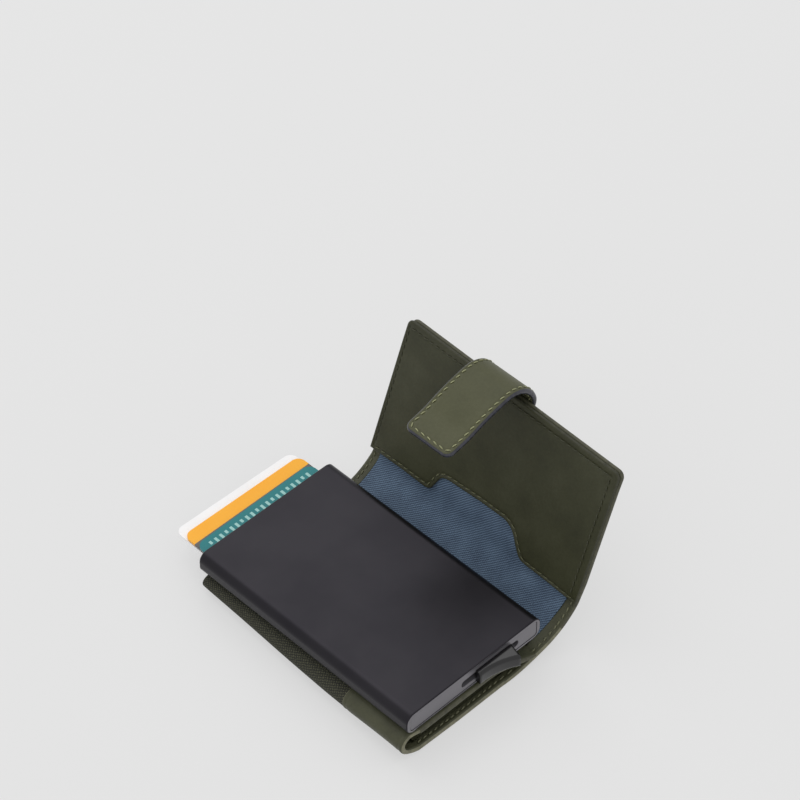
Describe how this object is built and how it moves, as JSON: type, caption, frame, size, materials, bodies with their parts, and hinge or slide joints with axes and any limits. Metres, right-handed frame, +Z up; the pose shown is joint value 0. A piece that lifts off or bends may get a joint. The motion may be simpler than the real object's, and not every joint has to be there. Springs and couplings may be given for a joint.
{
  "type": "pop up card holder",
  "caption": "Slim metal card case whose slide trigger fans out the cards, set in a folding leather wallet with a pocket below, a pocketed flap and a strap closure.",
  "frame": {"origin": "on the plane that the holder lies on, straight below the middle of the underside of the metal case", "axes": "+Z up; +Y the way the cards come out (the case points down by 3.4 degrees along it); +X from the case towards the spine and the flap"},
  "size_m": [0.1071, 0.1249, 0.0739],
  "materials": {
    "anodised": "satin black anodised",
    "plate": "dark grey",
    "trigger": "dark grey, satin",
    "inner_plastic": "black moulded",
    "steel": "plain",
    "magnet": "nickel plated",
    "felt": "black felt",
    "adhesive": "double-sided sheet",
    "board": "stiffener",
    "leather_olive": "dark olive, fine grain, painted edges",
    "leather_panel": "dark olive, smooth",
    "leather_strap": "olive, stitched",
    "cloth_blue": "blue twill",
    "canvas_olive": "dark olive canvas",
    "card_white": "white",
    "card_orange": "orange",
    "card_teal": "teal"
  },
  "bodies": {
    "holder": {"case_tube": "anodised", "end_plate": "plate", "lever_chassis": "inner_plastic", "lever_pin": "steel", "card_grip_left": "felt", "card_grip_right": "felt", "case_bond_pad": "adhesive", "pocket_carrier_leather": "leather_olive", "pocket_lower_leather": "leather_olive", "pocket_lining": "cloth_blue", "pocket_gusset": "canvas_olive", "pocket_tab": "leather_olive", "base_magnet": "magnet", "base_lining": "cloth_blue"},
    "trigger": {"trigger_slider": "trigger"},
    "lever": {"ejector_lever": "inner_plastic"},
    "card_white": {"card_white": "card_white"},
    "card_orange": {"card_orange": "card_orange"},
    "card_teal": {"card_teal": "card_teal"},
    "spine": {"spine_leather": "leather_olive", "spine_lining": "cloth_blue"},
    "flap": {"flap_leather": "leather_olive", "flap_board": "board", "flap_lining": "cloth_blue", "flap_pocket_panel": "leather_panel", "strap_root_face": "leather_strap", "strap_root_backing": "leather_strap"},
    "strap_rise": {"strap_rise_face": "leather_strap", "strap_rise_backing": "leather_strap"},
    "strap_side": {"strap_side_face": "leather_strap", "strap_side_backing": "leather_strap"},
    "strap_tip": {"strap_tip_face": "leather_strap", "strap_tip_backing": "leather_strap", "strap_magnet": "magnet"}
  },
  "joints": [
    {"name": "trigger_slide", "type": "slide", "parent": "holder", "child": "trigger", "axis": [-1, 0, 0], "range_m": [-0.009, 0.004]},
    {"name": "lever_swing", "type": "hinge", "parent": "holder", "child": "lever", "pos_m": [0.0186, -0.02401, 0.01292], "axis": [0, -0.0593, -0.9982], "range_deg": [-24.93, 11.08]},
    {"name": "card_white_slide", "type": "slide", "parent": "holder", "child": "card_white", "axis": [0, 0.9982, -0.0593], "range_m": [-0.0191, 0.00849]},
    {"name": "card_orange_slide", "type": "slide", "parent": "holder", "child": "card_orange", "axis": [0, 0.9982, -0.0593], "range_m": [-0.0148, 0.00658]},
    {"name": "card_teal_slide", "type": "slide", "parent": "holder", "child": "card_teal", "axis": [0, 0.9982, -0.0593], "range_m": [-0.008, 0.00356]},
    {"name": "spine_fold", "type": "hinge", "parent": "holder", "child": "spine", "pos_m": [0.03089, -0.00043, 0.00261], "axis": [-0.0013, -0.9996, 0.0299], "range_deg": [-12, 57]},
    {"name": "flap_fold", "type": "hinge", "parent": "spine", "child": "flap", "pos_m": [0.04948, 0.00017, 0.0127], "axis": [0, -0.9982, 0.0593], "range_deg": [-56, 54]},
    {"name": "strap_rise_fold", "type": "hinge", "parent": "flap", "child": "strap_rise", "pos_m": [0.07137, 0.00513, 0.06241], "axis": [0, -0.9982, 0.0593], "range_deg": [-29, 30.08]},
    {"name": "strap_wrap_fold", "type": "hinge", "parent": "strap_rise", "child": "strap_side", "pos_m": [0.06664, 0.00558, 0.06997], "axis": [0, -0.9982, 0.0593], "range_deg": [-15.01, 15.56]},
    {"name": "strap_tuck", "type": "hinge", "parent": "strap_side", "child": "strap_tip", "pos_m": [0.04024, 0.00533, 0.06589], "axis": [0, -0.9982, 0.0593], "range_deg": [0, 100]}
  ],
  "couplings": [
    {"joint": "lever_swing", "follows": "trigger_slide", "rad_per_m": 48.343},
    {"joint": "card_white_slide", "follows": "trigger_slide", "ratio": 2.1222},
    {"joint": "card_orange_slide", "follows": "trigger_slide", "ratio": 1.6444},
    {"joint": "card_teal_slide", "follows": "trigger_slide", "ratio": 0.88889},
    {"joint": "strap_rise_fold", "follows": "flap_fold", "ratio": -0.53704},
    {"joint": "strap_wrap_fold", "follows": "flap_fold", "ratio": -0.27778}
  ]
}
